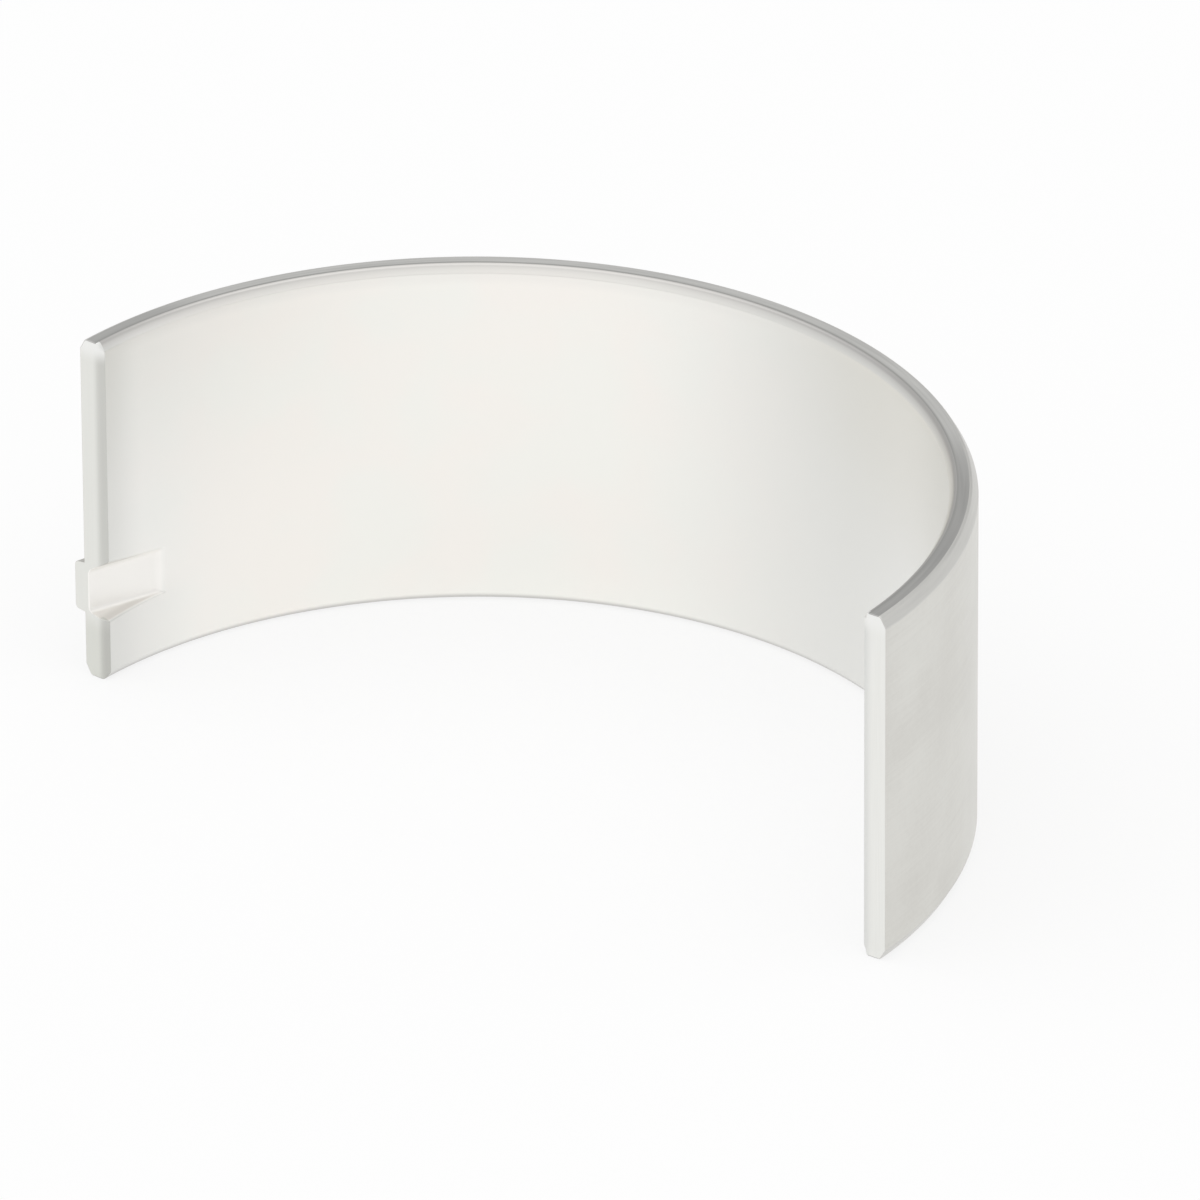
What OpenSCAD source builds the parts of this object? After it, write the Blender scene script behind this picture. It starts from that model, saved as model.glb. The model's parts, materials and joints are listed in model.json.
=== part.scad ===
// Plain half shell of a split engine bearing, shown free, standing on one of its side faces.
// The bearing axis is Z, with the origin at the middle of the shell's width, and the open side faces -Y.

/* [Shell] */
// Diameter of the housing bore that the shell fills when it is fitted
housing_d = 51; // [40:0.5:80]
// Wall thickness
wall = 1.5; // [1.3:0.05:2.5]
// Width along the bearing axis
shell_w = 19.6; // [15:0.1:40]
// Angle by which each end of the free shell springs open, in degrees
spring_open = 1.8; // [0:0.1:4]

/* [Edges] */
// Depth into the wall of the chamfers beside the running surface
bore_chamfer_depth = 0.3; // [0.1:0.05:0.5]
// Length along the axis of the chamfers beside the running surface
bore_chamfer_l = 0.45; // [0.2:0.05:1]
// Depth into the wall of the chamfers beside the back
back_chamfer_depth = 0.35; // [0.1:0.05:0.6]
// Length along the axis of the chamfers beside the back
back_chamfer_l = 0.6; // [0.2:0.05:1.2]
// Depth into the wall of the bevel where each parting face meets the running surface
parting_bevel_depth = 0.35; // [0.1:0.05:0.5]
// Length along the running surface of the bevel where each parting face meets it
parting_bevel_l = 0.2; // [0.1:0.05:0.4]

/* [Locating lug] */
// Distance from the lower side face to the middle of the lug
lug_offset = 5.05; // [4.5:0.05:8]
// Width of the lug
lug_w = 2.8; // [2:0.05:3.5]
// Length from the parting face to the closed end of the recess, along the running surface
lug_l = 4.2; // [3:0.05:6]
// Height of the lug above the back, at the parting face
lug_proud = 0.65; // [0.3:0.05:1]
// Corner radius along the lug's crown
lug_corner_r = 0.25; // [0.05:0.05:0.4]
// Depth of the recess below the running surface, at the parting face
recess_depth = 1.2; // [0.7:0.05:1.4]
// Corner radius along the recess floor
recess_corner_r = 0.5; // [0.1:0.05:0.6]
// Depth at which the line of the recess floor passes the closed end
recess_end_depth = 0.2; // [0.1:0.05:0.4]
// Slope of the closed end of the recess, in degrees
recess_end_slope = 45; // [30:1:60]
// Slope of the recess walls, which open toward the running surface, in degrees
recess_wall_slope = 55; // [45:1:80]
// Clearance on each side between the punch that makes the recess and the die that makes the lug
press_clearance = 0.1; // [0.05:0.05:0.25]

/* [Hidden] */

// Arc steps of a round, and of each rounded corner of the pressing
$fn = 240;
corner_steps = 8;
// How far a cut runs past the face that it opens
overcut = 1;
half_turn = 180;
square_corner = 90;

// The middle of the wall keeps its fitted length when the ends spring open, so the free radius is larger
fitted_mid_r = (housing_d - wall) / 2;
sweep = half_turn - 2 * spring_open;
mid_r = fitted_mid_r * half_turn / sweep;
bore_r = mid_r - wall / 2;
back_r = mid_r + wall / 2;
// Turn from the parting face to the closed end of the recess
bend_turn = lug_l / bore_r * half_turn / PI;
lug_z = lug_offset - shell_w / 2;
recess_w = lug_w - 2 * press_clearance;

// Section of the wall, as radius and height
wall_section = [
    [bore_r, bore_chamfer_l - shell_w / 2],
    [bore_r + bore_chamfer_depth, -shell_w / 2],
    [back_r - back_chamfer_depth, -shell_w / 2],
    [back_r, back_chamfer_l - shell_w / 2],
    [back_r, shell_w / 2 - back_chamfer_l],
    [back_r - back_chamfer_depth, shell_w / 2],
    [bore_r + bore_chamfer_depth, shell_w / 2],
    [bore_r, shell_w / 2 - bore_chamfer_l]
];

// Rounded corner between the crown of a pressing of this width and a wall of this slope, from the crown outward
function crown_corner(width, radius, slope) = [
    for (i = [0 : corner_steps])
        let (a = slope * i / corner_steps)
            [width / 2 + radius * (sin(a) - 1), radius * (cos(a) - 1)]
];

// Section of a pressing from the right half of its outline: the crown lies on the u axis, the rest below it
module press_section(right) {
    left = [for (i = [len(right) - 1 : -1 : 0]) [-right[i].x, right[i].y]];
    polygon(concat(right, left));
}

// Straight run of a pressing's section, with its crown at one radius in the parting face and at another on
// the bend line, and an overrun past both. X is outward and the parting face is y = 0, with the shell at
// negative y.
module press_run(parting_r, bend_r, overrun) {
    bend = bend_r * [cos(bend_turn), -sin(bend_turn)];
    run = [parting_r, 0] - bend;
    translate([bend.x, bend.y, lug_z])
        rotate([0, 0, atan2(run.y, run.x)])
            rotate([0, 90, 0])
                rotate([0, 0, 180])
                    translate([0, 0, -overrun])
                        linear_extrude(norm(run) + 2 * overrun)
                            children();
}

// Lug on the back, pressed out beyond the back radius and cut off flush with the parting face
module lug() {
    root = lug_proud + wall;
    difference() {
        press_run(back_r + lug_proud, back_r, overcut)
            press_section(concat(crown_corner(lug_w, lug_corner_r, square_corner), [[lug_w / 2, -root]]));
        cylinder(r = mid_r, h = 2 * shell_w, center = true);
        translate([bore_r, 0, -shell_w])
            cube([2 * root, 2 * root, 2 * shell_w]);
    }
}

// Recess that the press leaves behind the lug, deepest at the parting face and sloping up at its closed end
module lug_recess() {
    corner = crown_corner(recess_w, recess_corner_r, recess_wall_slope);
    foot = corner[corner_steps];
    wall_h = recess_depth + overcut;
    reach = lug_l + shell_w;
    difference() {
        press_run(bore_r + recess_depth, bore_r + recess_end_depth, overcut)
            press_section(concat(corner, [foot + wall_h * [1 / tan(recess_wall_slope), -1]]));
        rotate([0, 0, -bend_turn])
            translate([bore_r, 0, lug_z])
                rotate([0, 0, -recess_end_slope])
                    translate([0, -reach, -reach])
                        cube(2 * reach);
    }
}

// Bevel along the inner edge of a parting face, for the end with the shell at negative y
module parting_edge_bevel() {
    past_depth = overcut * parting_bevel_depth / parting_bevel_l;
    translate([0, 0, -shell_w])
        linear_extrude(2 * shell_w)
            polygon([
                [bore_r + parting_bevel_depth + past_depth, overcut],
                [bore_r - past_depth, -parting_bevel_l - overcut],
                [bore_r - past_depth, overcut]
            ]);
}

module bearing_shell() {
    color("#dcdcd4")
        difference() {
            union() {
                rotate([0, 0, spring_open])
                    rotate_extrude(angle = sweep)
                        polygon(wall_section);
                rotate([0, 0, half_turn - spring_open])
                    lug();
            }
            rotate([0, 0, half_turn - spring_open]) {
                lug_recess();
                parting_edge_bevel();
            }
            rotate([0, 0, spring_open])
                mirror([0, 1, 0])
                    parting_edge_bevel();
        }
}

bearing_shell();
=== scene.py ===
import json
import math

import bpy
import numpy as np
from mathutils import Matrix, Vector


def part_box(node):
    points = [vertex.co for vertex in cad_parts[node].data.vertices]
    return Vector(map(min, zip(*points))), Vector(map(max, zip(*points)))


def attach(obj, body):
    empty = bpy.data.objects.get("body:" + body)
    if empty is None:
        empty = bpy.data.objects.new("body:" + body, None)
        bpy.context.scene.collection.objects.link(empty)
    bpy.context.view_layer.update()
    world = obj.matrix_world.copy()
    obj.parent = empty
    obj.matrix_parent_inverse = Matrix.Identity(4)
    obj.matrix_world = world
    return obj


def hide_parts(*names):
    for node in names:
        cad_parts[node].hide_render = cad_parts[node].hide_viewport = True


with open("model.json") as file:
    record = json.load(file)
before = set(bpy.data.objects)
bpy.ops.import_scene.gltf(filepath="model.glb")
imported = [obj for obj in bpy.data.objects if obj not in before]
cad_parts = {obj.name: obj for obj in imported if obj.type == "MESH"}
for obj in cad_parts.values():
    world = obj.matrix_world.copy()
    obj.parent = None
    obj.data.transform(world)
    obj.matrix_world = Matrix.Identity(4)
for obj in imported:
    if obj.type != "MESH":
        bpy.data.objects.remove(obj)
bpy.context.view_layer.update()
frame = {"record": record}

MM = 0.001

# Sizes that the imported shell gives
mounts = {mount["name"]: mount for mount in frame["record"]["mounts"]}
shell_low, shell_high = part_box("bearing_shell")
bore_r = mounts["journal_bore"]["dims"]["r_mm"] * MM
back_r = mounts["housing_back"]["dims"]["r_mm"] * MM
half_width = (shell_high.z - shell_low.z) / 2
bore_chamfer_l = half_width - mounts["journal_bore"]["dims"]["length_mm"] * MM / 2
back_chamfer_l = half_width - mounts["housing_back"]["dims"]["length_mm"] * MM / 2
lug_z = mounts["locating_lug"]["pos_m"][2]


def end_turn(parting_face):
    """Angle of a parting face about the bearing axis."""
    x, y, _ = mounts[parting_face]["pos_m"]
    return math.atan2(y, x)


lug_end = end_turn("left_parting_face")
plain_end = end_turn("right_parting_face")
lug_proud = shell_low.x / math.cos(lug_end) - back_r

# Edges of the section and of the parting faces
bore_chamfer_depth = 0.3 * MM
back_chamfer_depth = 0.35 * MM
parting_bevel_depth = 0.35 * MM
parting_bevel_l = 0.2 * MM
edge_round = 0.2 * MM
end_round = 0.05 * MM
bevel_round = 0.08 * MM

# The pressed lug and the recess behind it, whose lower wall is a steep ledge in line with the lug's flank
lug_w = 2.8 * MM
lug_l = 4.2 * MM
lug_corner_r = 0.25 * MM
lug_flank_slope = math.radians(84)
recess_depth = 1.2 * MM
recess_corner_r = 0.5 * MM
recess_end_depth = 0.2 * MM
recess_end_slope = math.radians(45)
recess_wall_slope = math.radians(55)
ledge_corner_r = 0.3 * MM
ledge_slope = math.radians(75)
press_clearance = 0.1 * MM
recess_w = lug_w - 2 * press_clearance
mouth_round = 0.2 * MM
root_round = 0.15 * MM
press_trace = 0.02 * MM

# Spacing of the mesh: fine round the lug and beside the edges, coarse on the plain wall
fine_step = 0.015 * MM
coarse_step = 0.6 * MM
step_growth = 0.15
lug_margin = 0.4 * MM
round_steps = 5
wall_shares = np.array([0, 0.02, 0.1, 0.3, 0.5, 0.7, 0.9, 0.98, 1])


def soft_max(a, b, width):
    """The larger of two heights, with the crease rounded where they differ by less than width."""
    return np.maximum(a, b) + np.maximum(width - np.abs(a - b), 0) ** 2 / (4 * width)


def soft_min(a, b, width):
    """The smaller of two heights, with the crease rounded where they differ by less than width."""
    return -soft_max(-a, -b, width)


def graded(low, high, *edges):
    """Places from low to high, close together at both ends and at the edges between them."""
    edges = np.array([low, *edges, high])
    places = [low]
    while places[-1] < high:
        clear = np.abs(edges - places[-1]).min()
        places.append(places[-1] + min(fine_step + step_growth * clear, coarse_step))
    places = np.array(places)
    return low + (places - low) * (high - low) / (places[-1] - low)


def rounded_corner(before, corner, after, radius):
    """Points of the arc that rounds a corner of the section."""
    before, corner, after = (np.array(point) for point in (before, corner, after))
    way_in = (before - corner) / np.linalg.norm(before - corner)
    way_out = (after - corner) / np.linalg.norm(after - corner)
    half_angle = math.acos(way_in @ way_out) / 2
    middle = (way_in + way_out) / np.linalg.norm(way_in + way_out)
    centre = corner + middle * radius / math.sin(half_angle)
    start = corner + way_in * radius / math.tan(half_angle) - centre
    end = corner + way_out * radius / math.tan(half_angle) - centre
    span = math.pi - 2 * half_angle
    shares = np.linspace(0, 1, round_steps + 1)[:, None]
    return centre + (start * np.sin((1 - shares) * span) + end * np.sin(shares * span)) / math.sin(span)


def side_outline(surface_r, rim_r, chamfer_l, rows, inset):
    """Radius and height along one side of the section, moved into the wall by inset, from bottom to top."""
    inward = math.copysign(1, rim_r - surface_r)
    chamfer_turn = math.atan2(abs(rim_r - surface_r), chamfer_l)
    top = half_width - inset
    chamfer_top = half_width - chamfer_l - inset * math.tan(chamfer_turn / 2)
    rim_shift = inset * math.tan((math.pi / 2 - chamfer_turn) / 2)
    surface = surface_r + inward * inset
    rim_corner = (rim_r + inward * rim_shift, top)
    chamfer_corner = (surface, chamfer_top)
    rim_arc = rounded_corner(chamfer_corner, rim_corner, (rim_corner[0] + inward, top), edge_round - inset)
    chamfer_arc = rounded_corner((surface, 0), chamfer_corner, rim_corner, edge_round - inset)
    upper = np.concatenate([chamfer_arc, rim_arc])
    plain = np.stack([np.full(len(rows), surface), rows], 1)
    lower = upper[::-1] * [1, -1]
    return np.concatenate([lower, plain, upper])


def wall_height(u, corner_r, slope):
    """Height above a pressing's crown line at a way u past its edge: a round, then a sloping wall."""
    foot = corner_r * math.sin(slope)
    way = np.maximum(u + corner_r, 0)
    corner = corner_r - np.sqrt(corner_r ** 2 - np.minimum(way, foot) ** 2)
    return corner + np.maximum(way - foot, 0) * math.tan(slope)


def crown_line(turn, parting_r, bend_r):
    """Radius of a pressing's crown line at a turn from the parting face, and how steeply it crosses."""
    bend_turn = lug_l / bore_r
    bend_x, bend_y = bend_r * math.cos(bend_turn), bend_r * math.sin(bend_turn)
    tilt = math.atan2(parting_r - bend_x, bend_y)
    return parting_r * math.cos(tilt) / math.cos(turn - tilt), 1 / math.cos(turn - tilt)


def lug_r(turn, z):
    """Radius of the lug's outside, with nearly upright flanks."""
    crown, steepness = crown_line(turn, back_r + lug_proud, back_r)
    drop = wall_height(np.abs(z - lug_z) - lug_w / 2, lug_corner_r, lug_flank_slope)
    return crown - drop * steepness


def recess_r(turn, z):
    """Radius of the recess: a sloping floor and closed end, a sloping wall above and a steep ledge below."""
    floor, steepness = crown_line(turn, bore_r + recess_depth, bore_r + recess_end_depth)
    wall = wall_height(z - lug_z - recess_w / 2, recess_corner_r, recess_wall_slope)
    ledge = wall_height(lug_z - z - lug_w / 2, ledge_corner_r, ledge_slope)
    end = bore_r + (lug_l - turn * bore_r) * math.tan(recess_end_slope)
    return soft_min(floor - (wall + ledge) * steepness, end, root_round)


def run_of_turns(sweep):
    """Turns from the lug's parting face to the other one, and how far each is from the nearer one."""
    length = sweep * bore_r
    rounding = end_round * (1 - np.cos(np.linspace(0, math.pi / 2, round_steps + 1)))[:-1]
    run = graded(end_round, length - end_round, parting_bevel_l, lug_l - recess_end_depth, lug_l)
    run = np.concatenate([rounding, run, length - rounding[::-1]])
    return run / bore_r, np.minimum(run, length - run)


def section_at(turn, from_end, rows):
    """Both sides of the section at one turn, with the pressing, the bevel and the rounded end in them."""
    inset = end_round - math.sqrt(end_round ** 2 - (end_round - min(from_end, end_round)) ** 2)
    bore = side_outline(bore_r, bore_r + bore_chamfer_depth, bore_chamfer_l, rows, inset)
    back = side_outline(back_r, back_r - back_chamfer_depth, back_chamfer_l, rows, inset)
    if turn * bore_r < lug_l + lug_margin:
        bore[:, 0] = soft_max(bore[:, 0], recess_r(turn, bore[:, 1]) + inset, mouth_round)
        back[:, 0] = soft_max(back[:, 0], lug_r(turn, back[:, 1]) - inset, root_round)
    if from_end < parting_bevel_l + lug_margin:
        bevel = bore_r + parting_bevel_depth * (1 - from_end / parting_bevel_l)
        bore[:, 0] = soft_max(bore[:, 0], bevel, bevel_round)
    return bore, back


def shell_grid():
    """Points of the shell by turn, by height and through the wall, and each turn's way from an end."""
    plain_half = half_width - back_chamfer_l - edge_round
    press_edges = (lug_z + side * w / 2 for w in (recess_w, lug_w) for side in (-1, 1))
    rows = graded(-plain_half, plain_half, *press_edges)
    turns, ways = run_of_turns(lug_end - plain_end)
    grid = []
    for turn, way in zip(turns, ways):
        bore, back = section_at(turn, way, rows)
        wall = bore[:, None] + (back - bore)[:, None] * wall_shares[:, None]
        radius, height, angle = wall[..., 0], wall[..., 1], lug_end - turn
        grid.append(np.stack([radius * math.cos(angle), radius * math.sin(angle), height], -1))
    return np.array(grid), ways


def quads(sheet):
    """Faces of one side of the grid, as the numbers of their corners."""
    return np.stack([sheet[:-1, :-1], sheet[1:, :-1], sheet[1:, 1:], sheet[:-1, 1:]], -1)


FINISHES = ("bored_tin", "plated_back", "turned_side", "turned_chamfer", "broached_parting")


def side_finishes(grid, ways):
    """Finish of each face on the bore side and on the back side, as places in FINISHES."""
    bore_corners = grid[:-1, :-1, 0]
    radius = np.hypot(bore_corners[..., 0], bore_corners[..., 1])
    bore = np.full(radius.shape, FINISHES.index("bored_tin"))
    back = np.full(radius.shape, FINISHES.index("plated_back"))
    chamfer_rows = 2 * round_steps + 1
    back[:, :chamfer_rows] = back[:, -chamfer_rows:] = FINISHES.index("turned_chamfer")
    bevel_run = parting_bevel_l * (1 + bevel_round / parting_bevel_depth)
    bevelled = (ways[:-1] < bevel_run) & (ways[1:] < bevel_run)
    in_recess = radius > bore_r + parting_bevel_depth + end_round + press_trace
    bore[bevelled[:, None] & ~in_recess] = FINISHES.index("broached_parting")
    return bore, back


def make_shell():
    """The bearing shell as one closed mesh."""
    grid, ways = shell_grid()
    number = np.arange(grid[..., 0].size).reshape(grid.shape[:3])
    bore, back = side_finishes(grid, ways)
    turned, broached = FINISHES.index("turned_side"), FINISHES.index("broached_parting")
    sides = (
        (quads(number[:, :, 0]), bore),
        (quads(number[:, :, -1])[..., ::-1], back),
        (quads(number[:, -1]), turned),
        (quads(number[:, 0])[..., ::-1], turned),
        (quads(number[0]), broached),
        (quads(number[-1])[..., ::-1], broached),
    )
    corners = np.concatenate([faces.reshape(-1, 4) for faces, _ in sides])
    finishes = np.concatenate([np.broadcast_to(finish, faces.shape[:2]).ravel() for faces, finish in sides])
    used, corners = np.unique(corners, return_inverse=True)
    mesh = bpy.data.meshes.new("bearing_shell_finished")
    mesh.from_pydata(grid.reshape(-1, 3)[used].tolist(), [], corners.reshape(-1, 4).tolist())
    mesh.polygons.foreach_set("material_index", finishes.astype(np.int32))
    mesh.shade_smooth()
    shell = bpy.data.objects.new("bearing_shell_finished", mesh)
    bpy.context.scene.collection.objects.link(shell)
    return shell


class Shade:
    """One socket of a finish. Arithmetic on it adds Math nodes, and node() adds any other node."""

    def __init__(self, tree, socket=None):
        self.tree = tree
        self.socket = socket

    def node(self, kind, settings=None, inputs=None, output=0):
        made = self.tree.nodes.new(kind)
        for name, value in (settings or {}).items():
            setattr(made, name, value)
        for name, value in (inputs or {}).items():
            if isinstance(value, Shade):
                self.tree.links.new(value.socket, made.inputs[name])
            else:
                made.inputs[name].default_value = value
        return Shade(self.tree, made.outputs[output] if made.outputs else None)

    def output(self, name):
        return Shade(self.tree, self.socket.node.outputs[name])

    def maths(self, operation, *values):
        return self.node("ShaderNodeMath", {"operation": operation}, dict(enumerate(values)))

    def __add__(self, other):
        return self.maths("ADD", self, other)

    def __radd__(self, other):
        return self.maths("ADD", other, self)

    def __sub__(self, other):
        return self.maths("SUBTRACT", self, other)

    def __rsub__(self, other):
        return self.maths("SUBTRACT", other, self)

    def __mul__(self, other):
        return self.maths("MULTIPLY", self, other)

    def __rmul__(self, other):
        return self.maths("MULTIPLY", other, self)

    def __truediv__(self, other):
        return self.maths("DIVIDE", self, other)

    def __rtruediv__(self, other):
        return self.maths("DIVIDE", other, self)

    def __abs__(self):
        return self.maths("ABSOLUTE", self)


def place_on_shell(start):
    """Turn about the bearing axis, radius and height of the point that is shaded, and the point itself."""
    point = start.node("ShaderNodeTexCoord", output="Object")
    x = start.node("ShaderNodeSeparateXYZ", inputs={"Vector": point})
    y, z = x.output("Y"), x.output("Z")
    return x.maths("ARCTAN2", y, x), x.maths("SQRT", x * x + y * y), z, point


def grain(start, along, across, up, detail=2.0):
    """Noise from 0 to 1 in coordinates that are stretched along the marks of a tool."""
    where = start.node("ShaderNodeCombineXYZ", inputs={"X": along, "Y": across, "Z": up})
    return start.node("ShaderNodeTexNoise", inputs={"Vector": where, "Scale": 1.0, "Detail": detail})


def cloud(point, size, detail=2.0):
    """Soft noise from 0 to 1 with patches of about that size."""
    return point.node("ShaderNodeTexNoise", inputs={"Vector": point, "Scale": 1 / size, "Detail": detail})


def step_up(value, low, high):
    """0 below low and 1 above high, with a smooth rise between them."""
    return value.node(
        "ShaderNodeMapRange",
        {"interpolation_type": "SMOOTHSTEP"},
        {"Value": value, "From Min": low, "From Max": high},
    )


def tint(share, plain, other):
    """Colour from plain to other as share goes from 0 to 1."""
    return share.node("ShaderNodeMix", {"data_type": "RGBA"}, {0: share, 6: plain, 7: other}, output=2)


def metal(name, marks):
    """A bare metal finish from the colour, roughness, relief and depth of relief that marks gives."""
    material = bpy.data.materials.new(name)
    material.use_nodes = True
    material.node_tree.nodes.clear()
    start = Shade(material.node_tree)
    colour, roughness, relief, depth = marks(start)
    normal = start.node("ShaderNodeBump", inputs={"Height": relief, "Distance": depth})
    surface = start.node(
        "ShaderNodeBsdfPrincipled",
        inputs={"Base Color": colour, "Metallic": 1.0, "Roughness": roughness, "Normal": normal},
    )
    start.node("ShaderNodeOutputMaterial", inputs={"Surface": surface})
    return material


# Spacing of the marks that the tools leave, and how many marks follow each other in a radian of turn
bored_pitch, bored_run = 0.05 * MM, 6
rolled_pitch, rolled_run = 0.15 * MM, 4
ring_pitch, ring_run = 0.16 * MM, 5
chamfer_pitch, chamfer_run = 0.2 * MM, 8
broached_pitch, broached_l = 0.08 * MM, 4 * MM

# Patches of the tin, and the mottle and the pits of the back
tin_patch, back_mottle, back_pit = 6 * MM, 5 * MM, 0.3 * MM

# Turn at which the running surface has no painted shade, how far from there the painted side shade begins and
# is full, and the fade of the painted shade at an end
unshaded_turn = math.radians(132)
side_shade_from, side_shade_full = math.radians(18), math.radians(58)
end_half = (lug_end - plain_end) / 2
end_fade = 3 * MM

# How far from the lug's parting face the tin below the lug begins to grey and is grey, and its fade upward
low_grey_from, low_grey_full, low_grey_fade = 7 * MM, 1 * MM, 2 * MM

# Turns between which the painted side shade deepens and eases again
grey_from, grey_full = math.radians(55), math.radians(75)
grey_back, grey_gone = math.radians(85), math.radians(125)

# Turns between which the side faces take a painted shade toward the ends, standing in for darker reflections
# there
plain_end_shade_full, plain_end_shade_gone = math.radians(34), math.radians(54)
lug_end_shade_gone, lug_end_shade_full = math.radians(158), math.radians(170)


def bored_tin(start):
    """Running surface, its chamfers and the recess: cloudy tin with very fine bored lines.

    It has painted shade toward the sides and ends, is grey below the lug, has painted shade at the rim and on
    the lower chamfer, is satin in the recess and has a line of painted shade along the mouth.
    """
    turn, radius, z, point = place_on_shell(start)
    patches = cloud(point, tin_patch)
    lines = grain(start, turn * bored_run, radius / MM, z / bored_pitch)
    # Painted shade toward the sides of the running surface, standing in for its darker reflections there
    side_shade = step_up(abs(turn - unshaded_turn), side_shade_from, side_shade_full)
    deeper_side_shade = step_up(turn, grey_from, grey_full) * (1 - step_up(turn, grey_back, grey_gone))
    # Painted shade near both ends of the running surface
    at_end = step_up(abs(turn - math.pi / 2), end_half - end_fade / bore_r, end_half)
    near_lug = step_up(turn, lug_end - low_grey_from / bore_r, lug_end - low_grey_full / bore_r)
    below_lug = near_lug * step_up(lug_z - z, 0, low_grey_fade)
    # Painted contact shade on the lower chamfer beside the floor
    lower_chamfer_shade = step_up(0 - z, half_width - bore_chamfer_l, half_width)
    # Painted shade beside the top rim and on the upper chamfer and its edge, darkening the highlight there
    rim_shade = step_up(z, half_width - 1.2 * MM, half_width - 0.6 * MM)
    upper_chamfer_shade = step_up(z, half_width - 0.5 * MM, half_width)
    upper_edge_shade = step_up(z, half_width - 0.2 * MM, half_width - 0.05 * MM)
    inside = step_up(half_width - bore_chamfer_l - abs(z), 0, 0.2 * MM)
    recess = step_up(radius, bore_r + 0.03 * MM, bore_r + 0.15 * MM) * inside
    # Painted shade line along the mouth of the recess, on the ledge beside it
    beside = step_up(abs(z - lug_z), recess_w / 2, lug_w / 2)
    mouth_shade = recess * beside * (1 - 0.5 * step_up(radius, bore_r + 0.3 * MM, bore_r + 0.7 * MM))
    patchy_tin = tint(step_up(patches, 0.35, 0.65), (0.965, 0.935, 0.89, 1), (0.95, 0.945, 0.90, 1))
    shaded_tin = tint(deeper_side_shade, (0.885, 0.885, 0.87, 1), (0.815, 0.815, 0.79, 1))
    colour = tint(side_shade, patchy_tin, shaded_tin)
    colour = tint(at_end, colour, (0.79, 0.79, 0.765, 1))
    colour = tint(0.5 * below_lug, colour, (0.74, 0.74, 0.715, 1))
    colour = tint(lower_chamfer_shade, colour, (0.60, 0.59, 0.57, 1))
    colour = tint(0.3 * rim_shade, colour, (0.84, 0.83, 0.80, 1))
    colour = tint(upper_chamfer_shade, colour, tint(side_shade, (0.70, 0.685, 0.66, 1), (0.64, 0.63, 0.61, 1)))
    colour = tint(upper_edge_shade, colour, tint(side_shade, (0.66, 0.645, 0.62, 1), (0.54, 0.53, 0.515, 1)))
    colour = tint(recess, colour, (0.985, 0.97, 0.94, 1))
    colour = tint(mouth_shade, colour, (0.77, 0.75, 0.72, 1))
    return colour, 0.34 + 0.06 * patches + 0.15 * recess, lines, 0.0008 * MM


def plated_back(start):
    """Back: thin plating over rolled steel, with a faint mottle, fine pits and lines along the bend."""
    turn, radius, z, point = place_on_shell(start)
    mottle = cloud(point, back_mottle, 3.0)
    pits = cloud(point, back_pit)
    lines = grain(start, turn * rolled_run, radius / MM, z / rolled_pitch, 3.0)
    worn = 0.5 * mottle + 0.25 * pits + 0.25 * lines
    colour = tint(step_up(worn, 0.3, 0.7), (0.665, 0.655, 0.62, 1), (0.735, 0.73, 0.695, 1))
    return colour, 0.38 + 0.12 * pits, pits + lines, 0.002 * MM


def turned_side(start):
    """Side faces: turned rings in bare steel, with painted shade toward the ends, dark at the lining, light
    outside.
    """
    turn, radius, z, _ = place_on_shell(start)
    rings = grain(start, turn * ring_run, radius / ring_pitch, z / MM, 3.0)
    inner, outer = bore_r + bore_chamfer_depth, back_r - back_chamfer_depth
    at_lining = 1 - step_up(radius, inner + 0.1 * MM, inner + 0.3 * MM)
    at_chamfer = step_up(radius, outer - 0.15 * MM, outer)
    # Painted shade toward both ends of the side faces
    at_plain_end = 1 - step_up(turn, plain_end_shade_full, plain_end_shade_gone)
    at_lug_end = step_up(turn, lug_end_shade_gone, lug_end_shade_full)
    bright = tint(rings, (0.56, 0.56, 0.54, 1), (0.80, 0.795, 0.775, 1))
    shaded_rings = tint(rings, (0.39, 0.39, 0.38, 1), (0.56, 0.555, 0.54, 1))
    colour = tint(at_plain_end + 0.65 * at_lug_end, bright, shaded_rings)
    colour = tint(at_lining, colour, (0.42, 0.42, 0.405, 1))
    colour = tint(at_chamfer, colour, (0.84, 0.835, 0.81, 1))
    return colour, 0.36 + 0.12 * rings, rings, 0.003 * MM


def turned_chamfer(start):
    """Chamfers beside the back: turned steel with thin plating."""
    turn, radius, z, _ = place_on_shell(start)
    rings = grain(start, turn * chamfer_run, radius / chamfer_pitch, z / chamfer_pitch, 3.0)
    colour = tint(rings, (0.62, 0.615, 0.595, 1), (0.75, 0.745, 0.715, 1))
    return colour, 0.42 + 0.10 * rings, rings, 0.002 * MM


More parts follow.
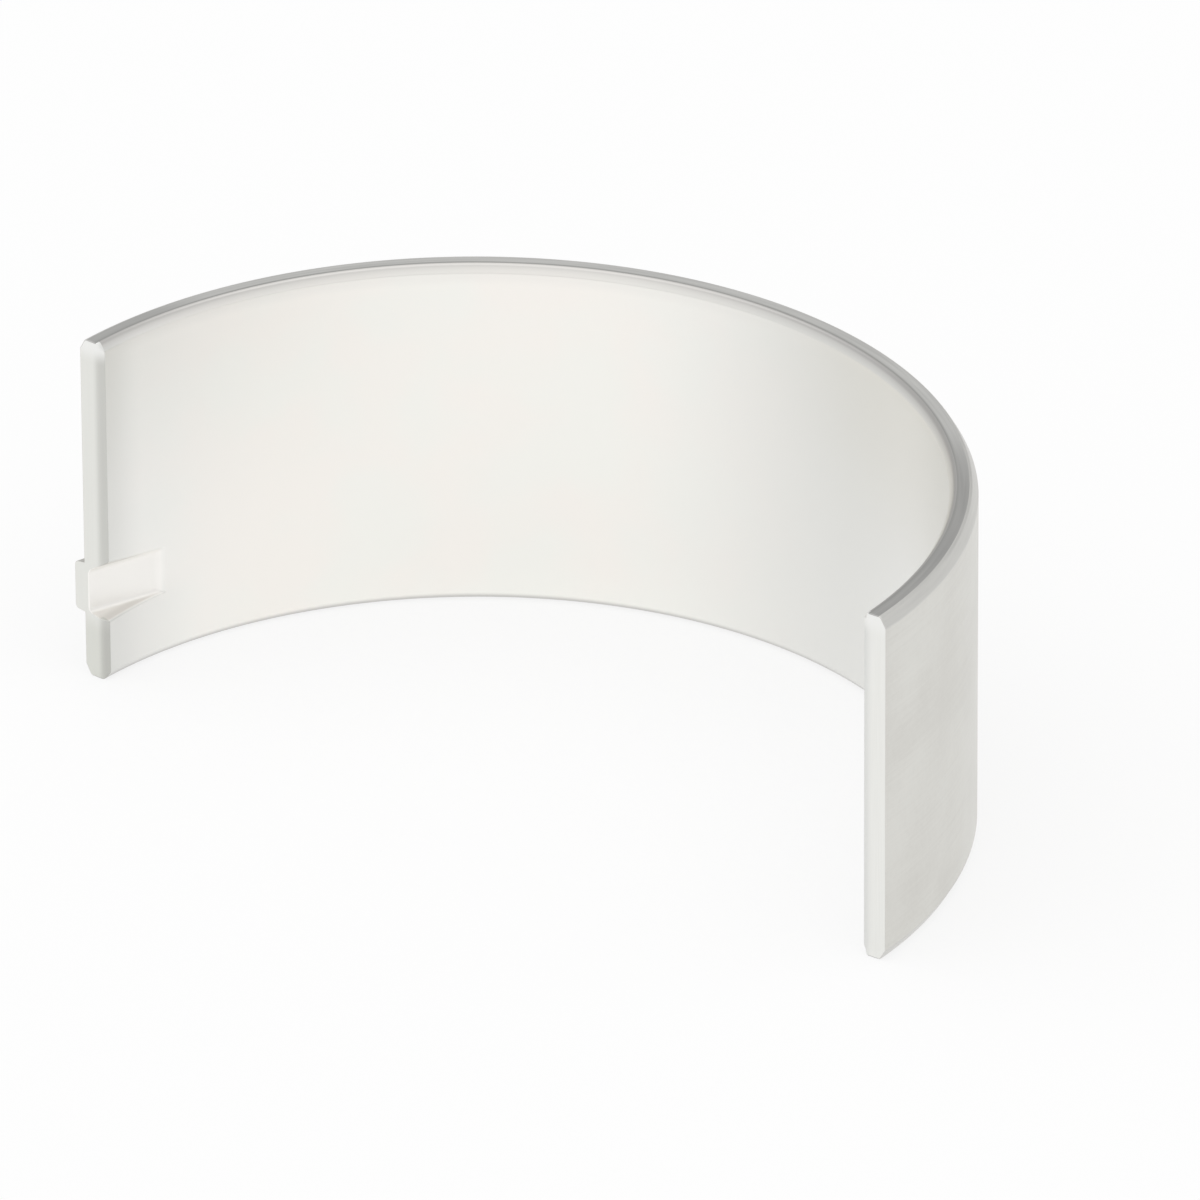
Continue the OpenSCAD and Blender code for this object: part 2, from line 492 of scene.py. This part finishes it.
def broached_parting(start):
    """Parting faces: broached along the axis, with the lining as a greyer band beside the running surface."""
    turn, radius, z, _ = place_on_shell(start)
    marks = grain(start, radius / broached_pitch, z / broached_l, turn)
    lining = 1 - step_up(radius, bore_r + 0.15 * MM, bore_r + 0.7 * MM)
    at_lug = step_up(turn, plain_end, lug_end)
    below_lug = step_up(lug_z - z, 1.2 * MM, 2.5 * MM) * at_lug
    steel = tint(marks, (0.83, 0.83, 0.80, 1), (0.90, 0.90, 0.87, 1))
    steel = tint(0.4 * at_lug + 0.6 * below_lug, steel, (0.73, 0.735, 0.69, 1))
    alloy = tint(at_lug, (0.76, 0.765, 0.745, 1), (0.62, 0.62, 0.59, 1))
    alloy = tint(below_lug, alloy, (0.54, 0.54, 0.51, 1))
    colour = tint(lining, steel, alloy)
    # Painted highlight at the top corner of the parting faces
    corner_highlight = step_up(z, half_width - 1.3 * MM, half_width - 0.3 * MM)
    colour = tint(corner_highlight, colour, (0.90, 0.90, 0.88, 1))
    return colour, 0.36 + 0.10 * marks, marks, 0.001 * MM


# Turn of the camera about the shell from straight before its open side
view_turn = math.radians(37.705)


def make_floor():
    """Plain white floor that keeps a soft shadow of the shell."""
    floor_r, floor_sides = 4.0, 64
    floor_gap = 0.01 * MM
    floor_glow = 0.75
    angles = [2 * math.pi * side / floor_sides for side in range(floor_sides)]
    ring = [(floor_r * math.cos(angle), floor_r * math.sin(angle), 0) for angle in angles]
    mesh = bpy.data.meshes.new("floor")
    mesh.from_pydata(ring, [], [range(floor_sides)])
    floor = bpy.data.objects.new("floor", mesh)
    floor.location.z = shell_low.z - floor_gap
    bpy.context.scene.collection.objects.link(floor)
    material = bpy.data.materials.new("floor_white")
    material.use_nodes = True
    material.node_tree.nodes.clear()
    start = Shade(material.node_tree)
    seen = start.node("ShaderNodeLightPath", output="Is Camera Ray")
    seen = seen.maths("MAXIMUM", seen, seen.output("Is Glossy Ray"))
    seen = seen.maths("MAXIMUM", seen, seen.node("ShaderNodeLightPath", output="Is Transmission Ray"))
    lit = start.node("ShaderNodeBsdfDiffuse", inputs={"Color": (0.98, 0.98, 0.98, 1)})
    white = start.node("ShaderNodeEmission", inputs={"Color": (1, 1, 1, 1), "Strength": 1.0})
    surface = start.node("ShaderNodeMixShader", inputs={0: seen * floor_glow, 1: lit, 2: white})
    start.node("ShaderNodeOutputMaterial", inputs={"Surface": surface})
    mesh.materials.append(material)


def make_light():
    """A plain light room, a little greyer behind the shell, with one broad soft lamp overhead."""
    room_light, room_grey = (0.82, 0.82, 0.82, 1), (0.6, 0.6, 0.6, 1)
    grey_rise, grey_edge, grey_core = 0.5, 0.3, 0.95
    world = bpy.data.worlds.new("studio")
    bpy.context.scene.world = world
    world.use_nodes = True
    world.node_tree.nodes.clear()
    start = Shade(world.node_tree)
    way = start.node("ShaderNodeTexCoord", output="Generated")
    behind = Vector((-math.sin(view_turn), math.cos(view_turn), grey_rise)).normalized()
    grey = start.node(
        "ShaderNodeVectorMath",
        {"operation": "DOT_PRODUCT"},
        {0: way, 1: behind},
        output="Value",
    )
    room = start.node(
        "ShaderNodeBackground",
        inputs={"Color": tint(step_up(grey, grey_edge, grey_core), room_light, room_grey)},
    )
    start.node("ShaderNodeOutputWorld", inputs={"Surface": room})
    lamp_turn, lamp_rise = math.radians(-60), math.radians(85)
    lamp = bpy.data.lights.new("soft_lamp", "SUN")
    lamp.energy = 0.7
    lamp.angle = math.radians(90)
    sun = bpy.data.objects.new("soft_lamp", lamp)
    sun.rotation_euler = (math.pi / 2 - lamp_rise, 0, lamp_turn)
    bpy.context.scene.collection.objects.link(sun)


def make_camera():
    """Camera at the photograph's angle: a long lens, nearly a metre off."""
    view_rise, view_roll = math.radians(27.64), math.radians(-0.342)
    view_way = 981.7 * MM
    seen_width = 61.83 * MM
    target = Vector((0.0102, 10.971, -1.566)) * MM
    data = bpy.data.cameras.new("camera")
    data.lens = data.sensor_width * view_way / seen_width
    data.clip_start, data.clip_end = 0.01, 20
    camera = bpy.data.objects.new("camera", data)
    upright = Matrix.Rotation(view_turn, 4, "Z") @ Matrix.Rotation(math.pi / 2 - view_rise, 4, "X")
    camera.matrix_world = (
        Matrix.Translation(target) @ upright @ Matrix.Rotation(view_roll, 4, "Z")
        @ Matrix.Translation((0, 0, view_way))
    )
    bpy.context.scene.collection.objects.link(camera)
    bpy.context.scene.camera = camera


shell = make_shell()
for marks in (bored_tin, plated_back, turned_side, turned_chamfer, broached_parting):
    shell.data.materials.append(metal(marks.__name__, marks))
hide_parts("bearing_shell")
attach(shell, "root")

make_floor()
make_light()
make_camera()
bpy.context.scene.view_settings.view_transform = "Standard"
